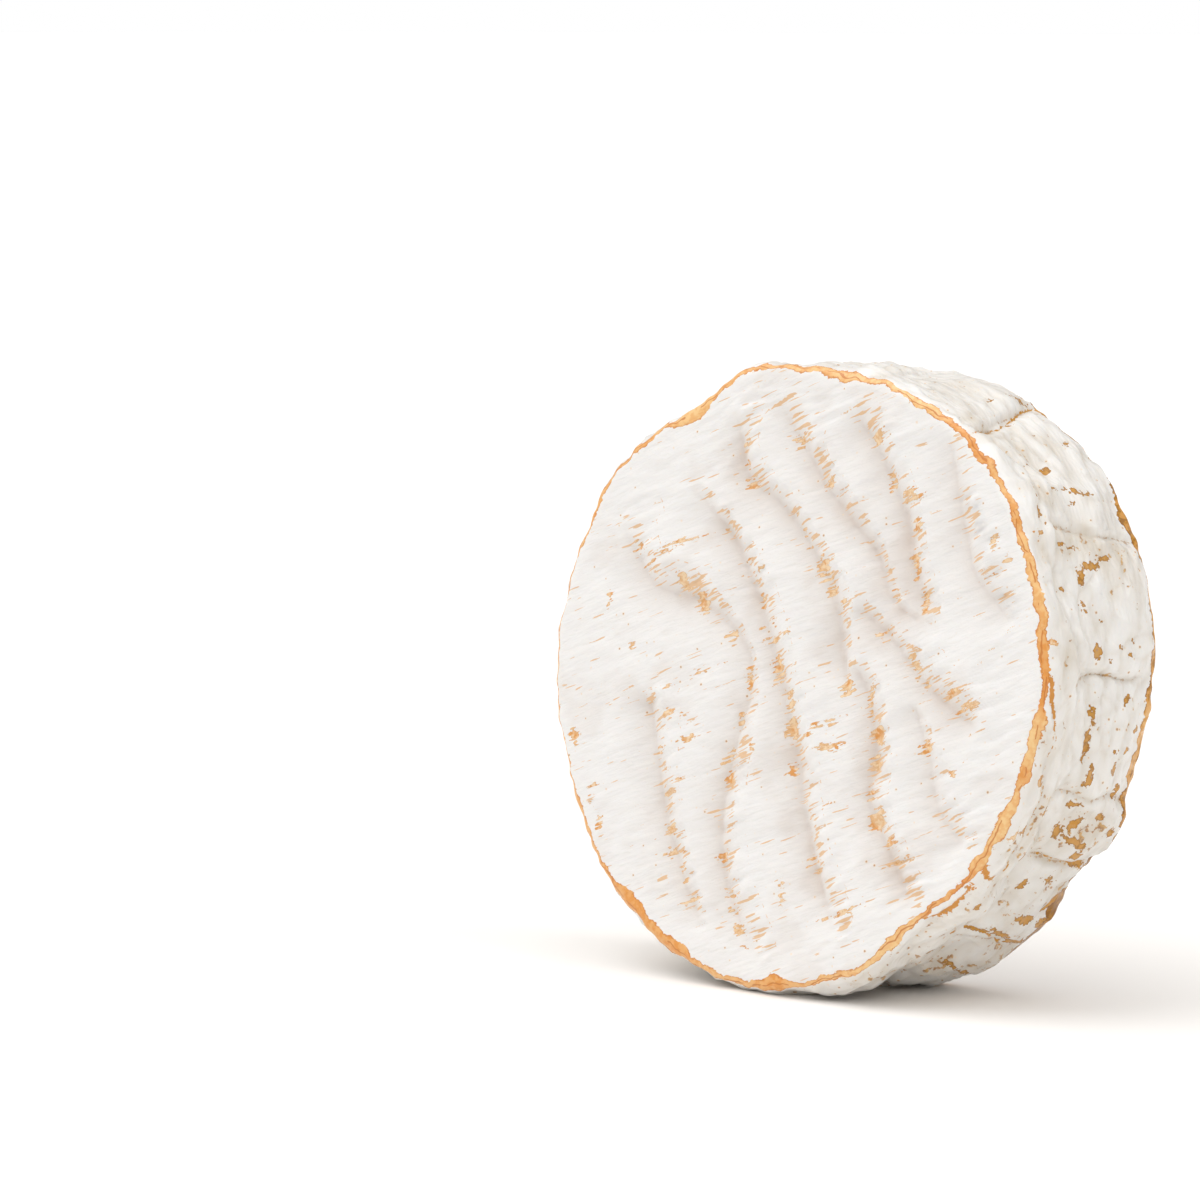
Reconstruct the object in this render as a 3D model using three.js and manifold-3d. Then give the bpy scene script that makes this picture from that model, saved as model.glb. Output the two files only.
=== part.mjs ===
// A soft ripened cheese wheel with a white bloomy rind, standing on its edge.
//
// The paste is one solid. Its front face carries the wavy grooves that the draining mat pressed
// into the curd, its side bulges in a shoulder behind the front rim, draws in at a waist and swells
// again towards the back rim, and creases run across the side. The wheel leans back a little on the
// flat foot where its soft edge has settled.
//
// The wheel is first shaped in its own frame: X to the right, Y from the front face to the back
// face, Z up, with its centre at the origin. It is then leaned back, cut level at the foot and set
// down with the middle of its outline at the origin, +Z up and the front face towards -Y.

import * as THREE from 'three';
import { mergeVertices } from 'three/addons/utils/BufferGeometryUtils.js';
import Module from 'manifold-3d';

const wasm = await Module();
wasm.setup();

// Driving dimensions, in millimetres and degrees

const RIM_RADIUS = 53.7; // to the side, just behind the browned rim of the front face
const THICKNESS = 30; // from the front face to the back face
const EDGE_ROUNDING = 1.9; // radius of both rims
const LEAN = 8.5; // how far the wheel leans back
const CENTRE_HEIGHT = 53.2; // of the wheel's centre above the foot, which has settled flat

const FACE_CELLS = 40; // squares across a face
const EDGE_STEPS = 2; // rows of quads round each rim
const SIDE_STEPS = 8; // rows of quads across the side

// The mat's grooves on the front face. Each path gives a few points to the right of and above the
// face's centre, from its upper end to its lower one.
const FRONT_GROOVES = [
  { depth: 1.0, path: [[-41, 24], [-33, 13], [-20, 10], [-9, 0], [-12, -22], [-10, -36], [0, -50]] },
  { depth: 1.2, path: [[-26, 31], [-16, 22], [-9, 12], [-3, 0], [2, -12], [8, -30], [16, -45]] },
  { depth: 1.2, path: [[-17, 45], [-14, 33], [-4, 27], [6, 17], [10, 6], [12, -3]] },
  { depth: 1.1, path: [[13, 3], [17, -3], [20, -13], [20, -21], [26, -30], [33, -40]] },
  { depth: 1.0, path: [[-8, 46], [0, 37], [6, 31], [16, 21], [21, 13], [32, 10]] },
  { depth: 1.2, path: [[8, 47], [15, 38], [21, 28], [24, 19], [29, 11]] },
  { depth: 1.0, path: [[12, 12], [20, 8], [29, 0], [42, -7]] },
  { depth: 0.9, path: [[29, 44], [32, 32], [36, 21], [46, 11]] },
  { depth: 1.0, path: [[-32, -6], [-29, -17], [-23, -31], [-13, -46]] },
  { depth: 0.8, path: [[26, -2], [31, -11], [34, -20], [42, -27]] },
];

// The back face has lain on the same mat, so its grooves run alike, turned and more even: parallel
// lines, so many degrees from upright, that sway to both sides as they come down.
const BACK_GROOVES = { count: 7, spacing: 13, depth: 0.9, lean: 21 };
const BACK_SWAY = { width: 3.5, pace: 0.11, step: 1.9 };
const BACK_GROOVE_POINTS = 7;

const GROOVE_GENTLE_WIDTH = 5.2; // the slope on the upper left of a groove
const GROOVE_STEEP_WIDTH = 3; // the slope on its lower right
const GROOVE_END = 0.14; // share of its length over which a groove fades at either end
const GROOVE_SHARING = 3; // where grooves meet, how firmly the deeper one rules
const CREST = { height: 0.35, offset: 5, width: 2.8 }; // the ridge that follows the steep slope
const FACE_WAVES = { height: 0.22, lengths: [43, 53], turned: 21 }; // two slow waves that cross
const RELIEF_MARGIN = 7; // the grooves fade out over this distance from the rim
const RELIEF_REACH = 4; // how far behind a face its relief is still felt

// How far each rim departs from a circle. Each swelling or dent gives its angle from the right hand
// side, its height and its width in degrees.
const FRONT_RIM_SWELLINGS = [
  [0, 0.6, 15],
  [41, 0.5, 15],
  [83, -1.5, 12],
  [108, 0.8, 6],
  [122, -1.6, 11],
  [145, 1, 12],
  [-154, -1, 12],
  [-98, 1.3, 27],
  [-50, -2, 14],
];
const BACK_RIM_SWELLINGS = [
  [72, 1.1, 12],
  [34, 3.2, 30],
  [8, 0.8, 6],
  [-5, 0.9, 10],
  [-23, 1.7, 8],
  [-34, -1.9, 5],
  [-50, 1.2, 12],
  [150, 1, 35],
  [-155, -1.1, 12],
];

// The side's section: a shoulder behind the front rim, a waist, and a swell near the back rim.
// Low on the right the wheel's weight folds the rind, which adds to the shoulder and the waist.
const SHOULDER = { height: 0.8, folded: 0.7, at: 5.5, width: 4.2 };
const WAIST = { depth: 0.4, folded: 0.9, at: 12.2, width: 2.8, sway: 2.4 };
const BACK_SWELL = { height: 1.3, at: 22, width: 7 };
const FOLD = { at: -58, width: 30 };
// The side's lumps: waves with so many crests round the wheel, which drift so many degrees of their
// own for each millimetre behind the front face.
const SIDE_LUMPS = [
  { height: 0.35, crests: 9, drift: 12, start: 0 },
  { height: 0.35, crests: 14, drift: -9.5, start: 40 },
];

// Creases across the side: [angle from the right hand side, from, to (share of the thickness),
// depth, slant in degrees from front to back]
const SEEN_CREASES = [
  [57, 0.12, 0.95, 0.5, 8],
  [31, 0.22, 1.0, 0.7, -5],
  [4, 0.25, 0.85, 0.8, 2],
  [-17, 0.3, 0.98, 0.6, 3],
  [-31, 0.45, 1.0, 1.0, 2],
  [-52, 0.4, 0.8, 0.6, 6],
];
// The hidden part of the side goes on with more, from one angle on round to the last seen crease.
// What varies from crease to crease gives its middle, its spread and how fast it varies.
const HIDDEN_CREASES = {
  count: 11,
  firstAngle: 84,
  span: 205,
  stagger: [0, 0.35, 2.4],
  start: [0.25, 0.15, 1.7],
  end: [0.9, 0.1, 2.9],
  depth: [0.55, 0.25, 4.1],
  slant: [0, 6, 3.3],
};
const CREASE_WIDTH = 1.9;
const CREASE_END = 0.08; // share of the thickness over which a crease fades at either end

const radians = THREE.MathUtils.degToRad;
const bell = (x) => Math.exp(-x * x);
const smoothstep = THREE.MathUtils.smoothstep;

// The difference of two angles in degrees, from -180 to 180.
const turn = (a, b) => THREE.MathUtils.euclideanModulo(a - b + 180, 360) - 180;

// The face grooves

const PATH_SAMPLES = 40;

// A groove's path as short straight stretches.
function sampledPath(points) {
  const curve = new THREE.SplineCurve(points.map(([x, z]) => new THREE.Vector2(x, z)));
  return curve.getPoints(PATH_SAMPLES);
}

// The nearest place on a path: how far along it lies, from 0 to 1, and the distance to it, which is
// positive on the right of the path.
function nearestOnPath(samples, x, z) {
  let best = { along: 0, distance: Infinity };
  for (let i = 0; i + 1 < samples.length; i++) {
    const dx = samples[i + 1].x - samples[i].x;
    const dz = samples[i + 1].y - samples[i].y;
    const px = x - samples[i].x;
    const pz = z - samples[i].y;
    const t = THREE.MathUtils.clamp((px * dx + pz * dz) / (dx * dx + dz * dz), 0, 1);
    const distance = Math.hypot(px - t * dx, pz - t * dz);
    if (distance < Math.abs(best.distance)) {
      const side = dx * pz - dz * px < 0 ? -1 : 1;
      best = { along: (i + t) / (samples.length - 1), distance: side * distance };
    }
  }
  return best;
}

// The height of one groove's section at a distance from its line, for a depth of 1.
function grooveSection(distance) {
  const width = distance < 0 ? GROOVE_GENTLE_WIDTH : GROOVE_STEEP_WIDTH;
  return bell(distance / width);
}

const endTaper = (along) => smoothstep(along, 0, GROOVE_END) * smoothstep(1 - along, 0, GROOVE_END);

function faceWaves(x, z) {
  const turned = radians(FACE_WAVES.turned);
  const across = x * Math.cos(turned) + z * Math.sin(turned);
  const up = z * Math.cos(turned) - x * Math.sin(turned);
  const [first, second] = FACE_WAVES.lengths;
  const wave = (distance, length) => Math.sin((2 * Math.PI * distance) / length);
  return FACE_WAVES.height * wave(across, first) * wave(up, second);
}

// The height of a grooved face at (x, z): grooves that meet share their depth instead of adding it.
function groovedFace(grooves, x, z) {
  let cut = 0;
  let crest = 0;
  for (const { samples, depth } of grooves) {
    const { along, distance } = nearestOnPath(samples, x, z);
    const strength = depth * endTaper(along);
    cut += (strength * grooveSection(distance)) ** GROOVE_SHARING;
    crest = Math.max(crest, strength * bell((distance - CREST.offset) / CREST.width));
  }
  const height = CREST.height * crest - cut ** (1 / GROOVE_SHARING) + faceWaves(x, z);
  return height * smoothstep(RIM_RADIUS - Math.hypot(x, z), 0, RELIEF_MARGIN);
}

function backGroovePath(index) {
  const offset = (index - (BACK_GROOVES.count - 1) / 2) * BACK_GROOVES.spacing;
  const halfLength = Math.sqrt(RIM_RADIUS ** 2 - offset ** 2);
  const lean = radians(BACK_GROOVES.lean);
  const path = [];
  for (let i = 0; i < BACK_GROOVE_POINTS; i++) {
    const down = halfLength * ((2 * i) / (BACK_GROOVE_POINTS - 1) - 1);
    const across = offset + BACK_SWAY.width * Math.sin(BACK_SWAY.pace * down + BACK_SWAY.step * index);
    path.push([
      across * Math.cos(lean) + down * Math.sin(lean),
      across * Math.sin(lean) - down * Math.cos(lean),
    ]);
  }
  return path;
}

const frontGrooves = FRONT_GROOVES.map(({ depth, path }) => ({ depth, samples: sampledPath(path) }));
const backGrooves = Array.from({ length: BACK_GROOVES.count }, (_, index) => ({
  depth: BACK_GROOVES.depth,
  samples: sampledPath(backGroovePath(index)),
}));

// The side

// How far a rim stands out from its circle at an angle.
function rimOffset(swellings, angle) {
  return swellings.reduce((sum, [at, height, width]) => sum + height * bell(turn(angle, at) / width), 0);
}

const varied = ([middle, spread, pace], index) => middle + spread * Math.sin(pace * index);

function hiddenCrease(index) {
  const { count, firstAngle, span, stagger, start, end, depth, slant } = HIDDEN_CREASES;
  const angle = firstAngle + (span * (index + varied(stagger, index))) / (count - 1);
  return [angle, varied(start, index), varied(end, index), varied(depth, index), varied(slant, index)];
}

const creases = [
  ...SEEN_CREASES,
  ...Array.from({ length: HIDDEN_CREASES.count }, (_, index) => hiddenCrease(index)),
];

function creaseDepth(angle, share) {
  let depth = 0;
  for (const [at, from, to, most, slant] of creases) {
    const across = radians(turn(angle, at + slant * (share - 0.5))) * RIM_RADIUS;
    const within =
      smoothstep(share, from - CREASE_END, from + CREASE_END) *
      smoothstep(-share, -to - CREASE_END, -to + CREASE_END);
    depth = Math.max(depth, most * within * bell(across / CREASE_WIDTH));
  }
  return depth;
}

// How far the side stands out from the rim's radius, at an angle in degrees from the right hand
// side and a distance behind the front face.
function sideOffset(angle, behind) {
  const share = THREE.MathUtils.clamp(behind / THICKNESS, 0, 1);
  const folded = bell(turn(angle, FOLD.at) / FOLD.width);
  const waistAt = WAIST.at - WAIST.sway * Math.sin(radians(angle));
  const profile =
    (SHOULDER.height + SHOULDER.folded * folded) * bell((behind - SHOULDER.at) / SHOULDER.width) -
    (WAIST.depth + WAIST.folded * folded) * bell((behind - waistAt) / WAIST.width) +
    BACK_SWELL.height * bell((behind - BACK_SWELL.at) / BACK_SWELL.width);
  const lumps = SIDE_LUMPS.reduce(
    (sum, { height, crests, drift, start }) =>
      sum + height * Math.sin(radians(crests * angle + drift * behind + start)),
    0,
  );
  const onSide = smoothstep(behind, 0, RELIEF_REACH) * smoothstep(THICKNESS - behind, 0, RELIEF_REACH);
  return (
    rimOffset(FRONT_RIM_SWELLINGS, angle) * (1 - share) +
    rimOffset(BACK_RIM_SWELLINGS, angle) * share +
    profile +
    (lumps - creaseDepth(angle, share)) * onSide
  );
}

// Moves a point of the plain round wheel to its place on the real one.
function shaped({ x, y, z }) {
  const behind = y + THICKNESS / 2;
  const angle = THREE.MathUtils.radToDeg(Math.atan2(z, x));
  const stretch = 1 + sideOffset(angle, behind) / RIM_RADIUS;
  const nearFront = smoothstep(-behind, -RELIEF_REACH, 0);
  const nearBack = smoothstep(behind - THICKNESS, -RELIEF_REACH, 0);
  const moved =
    nearBack * groovedFace(backGrooves, x, z) - nearFront * groovedFace(frontGrooves, x, z);
  return new THREE.Vector3(x * stretch, y + moved, z * stretch);
}

// The plain wheel's mesh: each face is a square of cells drawn out into a disc, so that the cells
// stay alike in size, and rows of quads join the two discs round the rims and across the side.

// A place on the unit disc for a place (u, v) on the square from -1 to 1.
function squareToDisc(u, v) {
  return new THREE.Vector2(u * Math.sqrt(1 - (v * v) / 2), v * Math.sqrt(1 - (u * u) / 2));
}

// The square's outline, anticlockwise from its lower left corner, as grid places.
function outlineOfGrid(cells) {
  const outline = [];
  for (let i = 0; i < cells; i++) outline.push([i, 0]);
  for (let i = 0; i < cells; i++) outline.push([cells, i]);
  for (let i = cells; i > 0; i--) outline.push([i, cells]);
  for (let i = cells; i > 0; i--) outline.push([0, i]);
  return outline;
}

// The section of a rim and the side, as [radius, distance behind the front face].
function sideRows() {
  const rows = [];
  for (let i = 1; i <= EDGE_STEPS; i++) {
    const a = (i / EDGE_STEPS) * (Math.PI / 2);
    rows.push([RIM_RADIUS - EDGE_ROUNDING * (1 - Math.sin(a)), EDGE_ROUNDING * (1 - Math.cos(a))]);
  }
  const straight = THICKNESS - 2 * EDGE_ROUNDING;
  for (let i = 1; i < SIDE_STEPS; i++) {
    rows.push([RIM_RADIUS, EDGE_ROUNDING + (straight * i) / SIDE_STEPS]);
  }
  for (let i = EDGE_STEPS; i >= 1; i--) {
    const [radius, behind] = rows[i - 1];
    rows.push([radius, THICKNESS - behind]);
  }
  return rows;
}

function plainWheel() {
  const points = [];
  const triangles = [];
  const add = (x, behind, z) => points.push(new THREE.Vector3(x, behind - THICKNESS / 2, z)) - 1;
  const quad = (a, b, c, d) => triangles.push(a, b, c, a, c, d); // parted along a to c
  const discRadius = RIM_RADIUS - EDGE_ROUNDING;

  const disc = (behind) => {
    const grid = [];
    for (let j = 0; j <= FACE_CELLS; j++) {
      const row = [];
      for (let i = 0; i <= FACE_CELLS; i++) {
        const place = squareToDisc((2 * i) / FACE_CELLS - 1, (2 * j) / FACE_CELLS - 1);
        row.push(add(place.x * discRadius, behind, place.y * discRadius));
      }
      grid.push(row);
    }
    return grid;
  };
  const front = disc(0);
  const back = disc(THICKNESS);
  for (let j = 0; j < FACE_CELLS; j++) {
    for (let i = 0; i < FACE_CELLS; i++) {
      quad(front[j][i + 1], front[j + 1][i + 1], front[j + 1][i], front[j][i]);
      quad(back[j + 1][i], back[j + 1][i + 1], back[j][i + 1], back[j][i]);
    }
  }

  const outline = outlineOfGrid(FACE_CELLS);
  let ring = outline.map(([i, j]) => front[j][i]);
  const addRing = (next) => {
    ring.forEach((start, i) => {
      const after = (i + 1) % ring.length;
      quad(start, next[i], next[after], ring[after]);
    });
    ring = next;
  };
  for (const [radius, behind] of sideRows()) {
    const next = outline.map(([i, j]) => {
      const onRim = points[front[j][i]];
      return add((onRim.x / discRadius) * radius, behind, (onRim.z / discRadius) * radius);
    });
    addRing(next);
  }
  addRing(outline.map(([i, j]) => back[j][i]));

  return { points, triangles };
}

function geometryOf({ points, triangles }) {
  const geometry = new THREE.BufferGeometry();
  geometry.setFromPoints(points);
  geometry.setIndex(triangles);
  return geometry;
}

// Boolean cuts

function solidOf(geometry) {
  const bare = geometry.clone();
  bare.deleteAttribute('normal');
  bare.deleteAttribute('uv');
  const merged = mergeVertices(bare);
  return new wasm.Manifold(
    new wasm.Mesh({
      numProp: 3,
      vertProperties: new Float32Array(merged.attributes.position.array),
      triVerts: new Uint32Array(merged.index.array),
    }),
  );
}

function geometryFromSolid(solid) {
  const { vertProperties, triVerts } = solid.getMesh();
  const geometry = new THREE.BufferGeometry();
  geometry.setAttribute('position', new THREE.BufferAttribute(vertProperties, 3));
  geometry.setIndex(new THREE.BufferAttribute(triVerts, 1));
  return geometry;
}

// The wheel as it stands

function standingWheel() {
  const wheel = plainWheel();
  wheel.points = wheel.points.map(shaped);
  const geometry = geometryOf(wheel);
  geometry.rotateX(-radians(LEAN));
  geometry.translate(0, 0, CENTRE_HEIGHT);

  const below = new THREE.BoxGeometry(4 * RIM_RADIUS, 4 * RIM_RADIUS, 2 * RIM_RADIUS);
  below.translate(0, 0, -RIM_RADIUS);
  const cut = geometryFromSolid(solidOf(geometry).subtract(solidOf(below)));

  cut.computeBoundingBox();
  const middle = cut.boundingBox.getCenter(new THREE.Vector3());
  cut.translate(-middle.x, -middle.y, 0);
  cut.computeVertexNormals();
  return cut;
}

const whiteRind = new THREE.MeshStandardMaterial({ color: 0xeeebe6, roughness: 0.75, metalness: 0 });

const cheese = new THREE.Mesh(standingWheel(), whiteRind);
cheese.name = 'cheese_wheel';

const part = new THREE.Group();
part.add(cheese);

export default part;
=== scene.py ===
# A soft ripened cheese wheel with a white bloomy rind, standing on its edge on a plain white table.
#
# Lengths are in millimetres and angles in degrees, unless a name says otherwise, and they are turned
# into metres and radians where Blender takes them. The wheel is shaped in its own frame: X to the
# right, Y from the front face to the back face, Z up, with its centre at the origin. It is then
# leaned back and set down on its foot.

import math
import random

import bmesh
import bpy
import numpy as np
from mathutils import Matrix, Vector, noise


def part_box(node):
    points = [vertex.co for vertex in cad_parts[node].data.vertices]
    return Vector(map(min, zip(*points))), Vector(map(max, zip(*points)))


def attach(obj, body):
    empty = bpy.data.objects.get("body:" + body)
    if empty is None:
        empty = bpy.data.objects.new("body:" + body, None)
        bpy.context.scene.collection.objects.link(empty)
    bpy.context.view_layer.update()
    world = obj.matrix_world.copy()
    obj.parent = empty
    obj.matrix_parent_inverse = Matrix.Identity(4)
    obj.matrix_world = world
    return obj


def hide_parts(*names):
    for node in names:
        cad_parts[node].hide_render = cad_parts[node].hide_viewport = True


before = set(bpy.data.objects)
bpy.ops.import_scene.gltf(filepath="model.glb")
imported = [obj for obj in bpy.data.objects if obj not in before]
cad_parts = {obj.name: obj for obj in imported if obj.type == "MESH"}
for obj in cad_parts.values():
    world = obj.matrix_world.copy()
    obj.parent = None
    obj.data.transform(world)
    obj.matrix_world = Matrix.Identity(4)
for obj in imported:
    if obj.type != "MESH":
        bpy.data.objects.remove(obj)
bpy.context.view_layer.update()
bpy.ops.object.select_all(action="DESELECT")

# The plain round
#
# Soft curd ladled into a hoop drains to a flat round with straight sides and rounded rims. It is
# one piece, so one cylinder is cut up into cells of about half a millimetre, fine enough to carve.

MM = 0.001  # one millimetre in metres
RIM_RADIUS = 53.7
THICKNESS = 30
EDGE_ROUNDING = 1.9
RIM_POINTS = 704
FACE_SPAN = RIM_POINTS // 4  # cells along each side of the grid that fills a face
EDGE_SEGMENTS = 4
SIDE_CUTS = 40


def select(mesh, kind, test):
    """Selects, in edit mode, the faces or edges that pass the test, and nothing else."""
    bpy.ops.mesh.select_mode(type=kind)
    bpy.ops.mesh.select_all(action="DESELECT")
    shape = bmesh.from_edit_mesh(mesh)
    for item in shape.faces if kind == "FACE" else shape.edges:
        item.select_set(test(item))
    bmesh.update_edit_mesh(mesh)


def is_whole_face(face):
    return len(face.verts) == RIM_POINTS


bpy.ops.mesh.primitive_cylinder_add(
    vertices=RIM_POINTS,
    radius=RIM_RADIUS * MM,
    depth=THICKNESS * MM,
    end_fill_type="NGON",
    rotation=(math.radians(90), 0, 0),
)
wheel = bpy.context.object
wheel.name = "ripened_wheel"
wheel.data.name = "ripened_wheel"
bpy.ops.object.transform_apply(rotation=True)

bpy.ops.object.mode_set(mode="EDIT")
select(wheel.data, "FACE", is_whole_face)
bpy.ops.mesh.region_to_loop()
bpy.ops.mesh.bevel(offset=EDGE_ROUNDING * MM, segments=EDGE_SEGMENTS, profile=0.5)

straight = (THICKNESS - 2 * EDGE_ROUNDING) * MM
select(wheel.data, "EDGE", lambda edge: edge.calc_length() > straight * 0.99)
bpy.ops.mesh.subdivide(number_cuts=SIDE_CUTS)

for side in (-1, 1):
    select(
        wheel.data, "FACE",
        lambda face: is_whole_face(face) and face.calc_center_median().y * side > 0,
    )
    bpy.ops.mesh.delete(type="ONLY_FACE")
    select(wheel.data, "EDGE", lambda edge: edge.is_boundary)
    bpy.ops.mesh.fill_grid(span=FACE_SPAN)

bpy.ops.mesh.select_all(action="SELECT")
bpy.ops.mesh.normals_make_consistent(inside=False)
bpy.ops.object.mode_set(mode="OBJECT")

plain = np.empty(len(wheel.data.vertices) * 3)
wheel.data.vertices.foreach_get("co", plain)
plain = plain.reshape(-1, 3) / MM
right, behind, above = plain[:, 0], plain[:, 1] + THICKNESS / 2, plain[:, 2]
radius = np.hypot(right, above)
angle = np.degrees(np.arctan2(above, right))
share = np.clip(behind / THICKNESS, 0, 1)
arc = np.radians(angle) * RIM_RADIUS

# The grooves of the faces
#
# The draining mat pressed wavy grooves into the soft curd. Each has a gentle slope on its upper left,
# a steep one on its lower right, and a low crest beyond; on both faces they fade out at the rim.

# Each path gives a few points to the right of and above the face's centre, from its upper end to its
# lower one.
FRONT_GROOVES = [
    (1.0, [(-41, 24), (-33, 13), (-20, 10), (-9, 0), (-12, -22), (-10, -36), (0, -50)]),
    (1.2, [(-26, 31), (-16, 22), (-9, 12), (-3, 0), (2, -12), (8, -30), (16, -45)]),
    (1.2, [(-17, 45), (-14, 33), (-4, 27), (6, 17), (10, 6), (12, -3)]),
    (1.1, [(13, 3), (17, -3), (20, -13), (20, -21), (26, -30), (33, -40)]),
    (1.0, [(-8, 46), (0, 37), (6, 31), (16, 21), (21, 13), (32, 10)]),
    (1.2, [(8, 47), (15, 38), (21, 28), (24, 19), (29, 11)]),
    (1.0, [(12, 12), (20, 8), (29, 0), (42, -7)]),
    (0.9, [(29, 44), (32, 32), (36, 21), (46, 11)]),
    (1.0, [(-32, -6), (-29, -17), (-23, -31), (-13, -46)]),
    (0.8, [(26, -2), (31, -11), (34, -20), (42, -27)]),
]
BACK_GROOVE_COUNT = 7
BACK_GROOVE_SPACING = 13
BACK_GROOVE_DEPTH = 0.9
BACK_GROOVE_LEAN = 21
BACK_GROOVE_POINTS = 7
BACK_SWAY_WIDTH = 3.5
BACK_SWAY_PACE = 0.11
BACK_SWAY_STEP = 1.9

PATH_SAMPLES = 40
GROOVE_GENTLE_WIDTH = 5.2
GROOVE_STEEP_WIDTH = 3
GROOVE_END = 0.14  # share of its length over which a groove fades at either end
GROOVE_SHARING = 3  # where grooves meet, how firmly the deeper one rules
CREST_HEIGHT = 0.35
CREST_OFFSET = 5
CREST_WIDTH = 2.8
FACE_WAVE_HEIGHT = 0.22
FACE_WAVE_LENGTHS = (43, 53)
FACE_WAVES_TURNED = 21
RELIEF_MARGIN = 7
RELIEF_REACH = 4
FAR = 6  # past this distance, nothing of a groove, patch or crease shows


def bell(x):
    return np.exp(-x * x)


def smoothstep(x, low, high):
    t = np.clip((x - low) / (high - low), 0, 1)
    return t * t * (3 - 2 * t)


def sampled_path(points):
    """A smooth path through the points, as short straight stretches."""
    points = np.array(points, dtype=float)
    last = len(points) - 1
    samples = []
    for place in np.linspace(0, last, PATH_SAMPLES + 1):
        i = min(int(place), last - 1)
        t = place - i
        before, start, end, after = (points[min(max(i + k, 0), last)] for k in (-1, 0, 1, 2))
        leaving = (end - before) / 2
        arriving = (after - start) / 2
        cubic = 2 * start - 2 * end + leaving + arriving
        square = 3 * end - 3 * start - 2 * leaving - arriving
        samples.append(cubic * t**3 + square * t**2 + leaving * t + start)
    return np.array(samples)


def nearest_on_path(samples, x, z):
    """How far along the path the nearest place lies, from 0 to 1, and the distance to it, which is
    positive on the right of the path."""
    along = np.zeros_like(x)
    distance = np.full_like(x, np.inf)
    for i in range(len(samples) - 1):
        dx, dz = samples[i + 1] - samples[i]
        px = x - samples[i][0]
        pz = z - samples[i][1]
        t = np.clip((px * dx + pz * dz) / (dx * dx + dz * dz), 0, 1)
        here = np.hypot(px - t * dx, pz - t * dz)
        nearer = here < np.abs(distance)
        side = np.where(dx * pz - dz * px < 0, -1, 1)
        distance = np.where(nearer, side * here, distance)
        along = np.where(nearer, (i + t) / (len(samples) - 1), along)
    return along, distance


def back_groove_path(index):
    offset = (index - (BACK_GROOVE_COUNT - 1) / 2) * BACK_GROOVE_SPACING
    half_length = math.sqrt(RIM_RADIUS**2 - offset**2)
    lean = math.radians(BACK_GROOVE_LEAN)
    path = []
    for i in range(BACK_GROOVE_POINTS):
        down = half_length * (2 * i / (BACK_GROOVE_POINTS - 1) - 1)
        across = offset + BACK_SWAY_WIDTH * math.sin(BACK_SWAY_PACE * down + BACK_SWAY_STEP * index)
        path.append(
            (
                across * math.cos(lean) + down * math.sin(lean),
                across * math.sin(lean) - down * math.cos(lean),
            )
        )
    return path


def face_waves(x, z):
    turned = math.radians(FACE_WAVES_TURNED)
    across = x * math.cos(turned) + z * math.sin(turned)
    up = z * math.cos(turned) - x * math.sin(turned)
    first, second = FACE_WAVE_LENGTHS
    return FACE_WAVE_HEIGHT * np.sin(2 * np.pi * across / first) * np.sin(2 * np.pi * up / second)


def grooved_face(grooves, x, z):
    """The face's height at (x, z), the distance from the nearest groove's line, and how deep that
    groove is there."""
    cut = np.zeros_like(x)
    crest = np.zeros_like(x)
    nearest = np.full_like(x, FAR)
    deepest = np.zeros_like(x)
    for depth, samples in grooves:
        along, distance = nearest_on_path(samples, x, z)
        strength = depth * smoothstep(along, 0, GROOVE_END) * smoothstep(1 - along, 0, GROOVE_END)
        width = np.where(distance < 0, GROOVE_GENTLE_WIDTH, GROOVE_STEEP_WIDTH)
        section = strength * bell(distance / width)
        cut += section**GROOVE_SHARING
        crest = np.maximum(crest, strength * bell((distance - CREST_OFFSET) / CREST_WIDTH))
        nearest = np.where(section > deepest, distance, nearest)
        deepest = np.maximum(deepest, section)
    height = CREST_HEIGHT * crest - cut ** (1 / GROOVE_SHARING) + face_waves(x, z)
    within = smoothstep(RIM_RADIUS - np.hypot(x, z), 0, RELIEF_MARGIN)
    return height * within, np.clip(nearest, -FAR, FAR), deepest * within


front_grooves = [(depth, sampled_path(path)) for depth, path in FRONT_GROOVES]
back_grooves = [
    (BACK_GROOVE_DEPTH, sampled_path(back_groove_path(index))) for index in range(BACK_GROOVE_COUNT)
]
on_front = behind < RELIEF_REACH
on_back = behind > THICKNESS - RELIEF_REACH

face_height = np.zeros_like(behind)
groove_across = np.full_like(behind, FAR)
groove_depth = np.zeros_like(behind)
for here, grooves in ((on_front, front_grooves), (on_back, back_grooves)):
    height, across, depth = grooved_face(grooves, right[here], above[here])
    face_height[here] = height
    groove_across[here] = across
    groove_depth[here] = depth

# The side
#
# The straight side has settled: it bulges in a shoulder behind the front rim, draws in at a waist,
# swells towards the back rim, and is crossed by creases where the drying rind has shrunk and folded.

# How far each rim departs from a circle: the angle from the right hand side, height and width.
FRONT_RIM_SWELLINGS = [
    (0, 0.6, 15), (41, 0.5, 15), (83, -1.5, 12), (108, 0.8, 6), (122, -1.6, 11), (145, 1, 12),
    (-154, -1, 12), (-98, 1.3, 27), (-50, -2, 14),
]
BACK_RIM_SWELLINGS = [
    (72, 1.1, 12), (34, 3.2, 30), (8, 0.8, 6), (-5, 0.9, 10), (-23, 1.7, 8), (-34, -1.9, 5),
    (-50, 1.2, 12), (150, 1, 35), (-155, -1.1, 12),
]
SHOULDER_HEIGHT = 0.8
SHOULDER_FOLDED = 0.7
SHOULDER_AT = 5.5
SHOULDER_WIDTH = 4.2
WAIST_DEPTH = 0.4
WAIST_FOLDED = 0.9
WAIST_AT = 12.2
WAIST_WIDTH = 2.8
WAIST_SWAY = 2.4
SETTLED_WANDER = 4  # how far the shoulder and the waist wander from front to back
SETTLED_LENGTH = 9
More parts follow.
